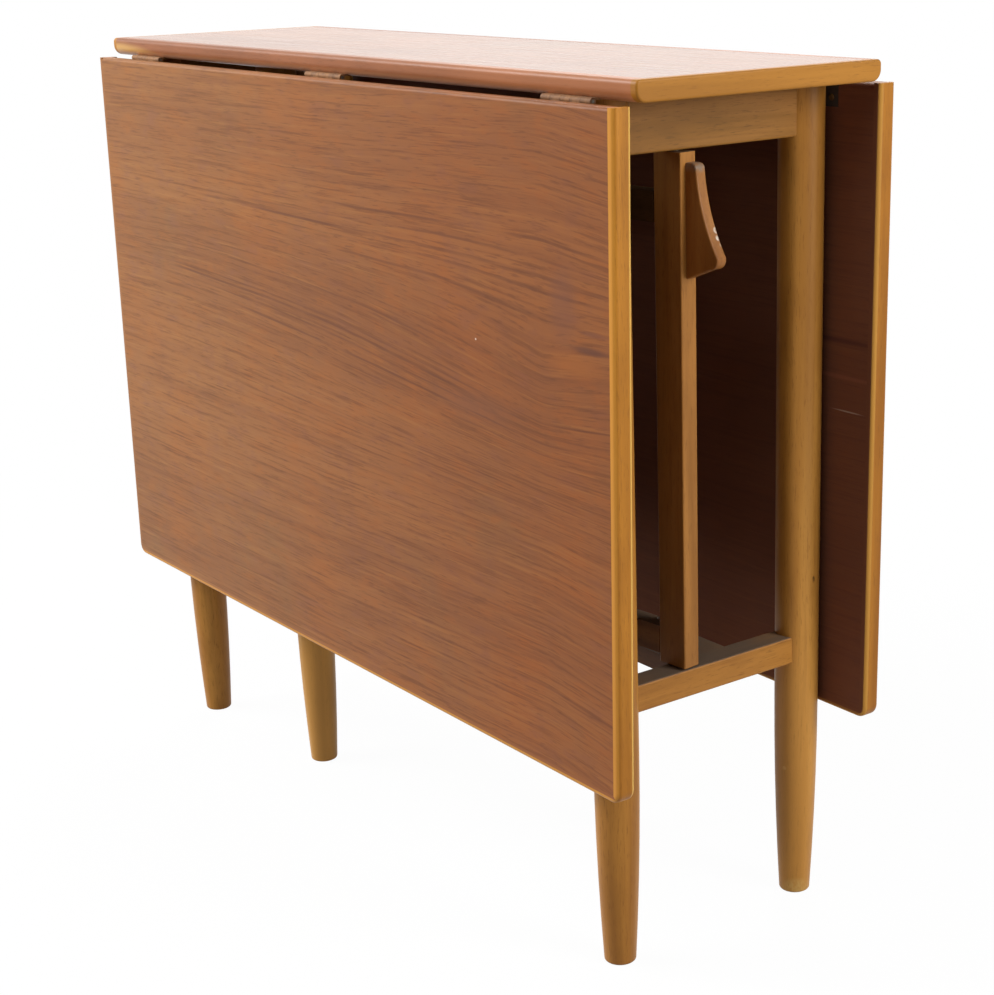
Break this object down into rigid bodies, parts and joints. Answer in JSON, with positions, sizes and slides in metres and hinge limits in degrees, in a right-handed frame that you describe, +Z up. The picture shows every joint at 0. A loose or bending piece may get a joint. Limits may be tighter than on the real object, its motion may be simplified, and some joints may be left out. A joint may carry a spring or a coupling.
{
  "type": "drop-leaf gateleg table",
  "caption": "Folding table with a narrow fixed top on turned legs, a hinged leaf hanging along each side, and a swinging gate behind each leaf to carry it when raised.",
  "frame": {"origin": "on the floor under the middle of the folded table", "axes": "+X along the table towards the end where the front gate pivots, +Y towards the rear leaf, +Z up"},
  "size_m": [0.878, 0.2918, 0.74],
  "materials": {
    "teak_veneer": "satin varnished teak veneer",
    "teak_edge": "satin varnished solid teak",
    "light_lipping": "satin varnished light hardwood",
    "frame_wood": "satin varnished beech, stained golden",
    "lever_teak": "satin varnished hardwood, worn edges",
    "hinge_brass": "dull brass",
    "pin_steel": "plain steel",
    "screw_steel": "plain steel"
  },
  "bodies": {
    "frame": {"end_apron_left": "frame_wood", "end_apron_right": "frame_wood", "end_stretcher_left": "frame_wood", "end_stretcher_right": "frame_wood", "hinge_front_centre_top_plate": "hinge_brass", "hinge_front_left_top_plate": "hinge_brass", "hinge_front_right_top_plate": "hinge_brass", "hinge_pins_front": "pin_steel", "hinge_pins_rear": "pin_steel", "hinge_rear_centre_top_plate": "hinge_brass", "hinge_rear_left_top_plate": "hinge_brass", "hinge_rear_right_top_plate": "hinge_brass", "hinge_screws_top_front": "screw_steel", "hinge_screws_top_rear": "screw_steel", "leg_front_left": "frame_wood", "leg_front_right": "frame_wood", "leg_rear_left": "frame_wood", "leg_rear_right": "frame_wood", "long_stretcher": "frame_wood", "stretcher_dowels": "frame_wood", "top_edge_strip_front": "teak_edge", "top_edge_strip_rear": "teak_edge", "top_end_lipping_left": "light_lipping", "top_end_lipping_right": "light_lipping", "top_panel": "teak_veneer", "top_screws": "screw_steel"},
    "leaf_front": {"hinge_front_centre_leaf_plate": "hinge_brass", "hinge_front_left_leaf_plate": "hinge_brass", "hinge_front_right_leaf_plate": "hinge_brass", "hinge_screws_leaf_front": "screw_steel", "leaf_front_edge_strip": "teak_edge", "leaf_front_lipping_bottom": "light_lipping", "leaf_front_lipping_left": "light_lipping", "leaf_front_lipping_right": "light_lipping", "leaf_front_panel": "teak_veneer"},
    "leaf_rear": {"hinge_rear_centre_leaf_plate": "hinge_brass", "hinge_rear_left_leaf_plate": "hinge_brass", "hinge_rear_right_leaf_plate": "hinge_brass", "hinge_screws_leaf_rear": "screw_steel", "leaf_rear_edge_strip": "teak_edge", "leaf_rear_lipping_bottom": "light_lipping", "leaf_rear_lipping_left": "light_lipping", "leaf_rear_lipping_right": "light_lipping", "leaf_rear_panel": "teak_veneer"},
    "gate_front": {"gate_front_leg": "frame_wood", "gate_front_lever": "lever_teak", "gate_front_lower_rail": "frame_wood", "gate_front_pivot_pins": "pin_steel", "gate_front_stile": "frame_wood", "gate_front_upper_rail": "frame_wood"},
    "gate_rear": {"gate_rear_leg": "frame_wood", "gate_rear_lever": "lever_teak", "gate_rear_lower_rail": "frame_wood", "gate_rear_pivot_pins": "pin_steel", "gate_rear_stile": "frame_wood", "gate_rear_upper_rail": "frame_wood"}
  },
  "joints": [
    {"name": "leaf_front_hinge", "type": "hinge", "parent": "frame", "child": "leaf_front", "pos_m": [0, -0.1201, 0.722], "axis": [-1, 0, 0], "range_deg": [-0.83, 89.17]},
    {"name": "leaf_rear_hinge", "type": "hinge", "parent": "frame", "child": "leaf_rear", "pos_m": [0, 0.1279, 0.722], "axis": [1, 0, 0], "range_deg": [0, 90.32]},
    {"name": "gate_front_pivot", "type": "hinge", "parent": "frame", "child": "gate_front", "pos_m": [0.367, -0.0254, 0.2505], "axis": [0, 0, 1], "range_deg": [-3.7, 2.3]},
    {"name": "gate_rear_pivot", "type": "hinge", "parent": "frame", "child": "gate_rear", "pos_m": [-0.367, 0.0332, 0.2505], "axis": [0, 0, 1], "range_deg": [-0.8, 4.9]}
  ]
}
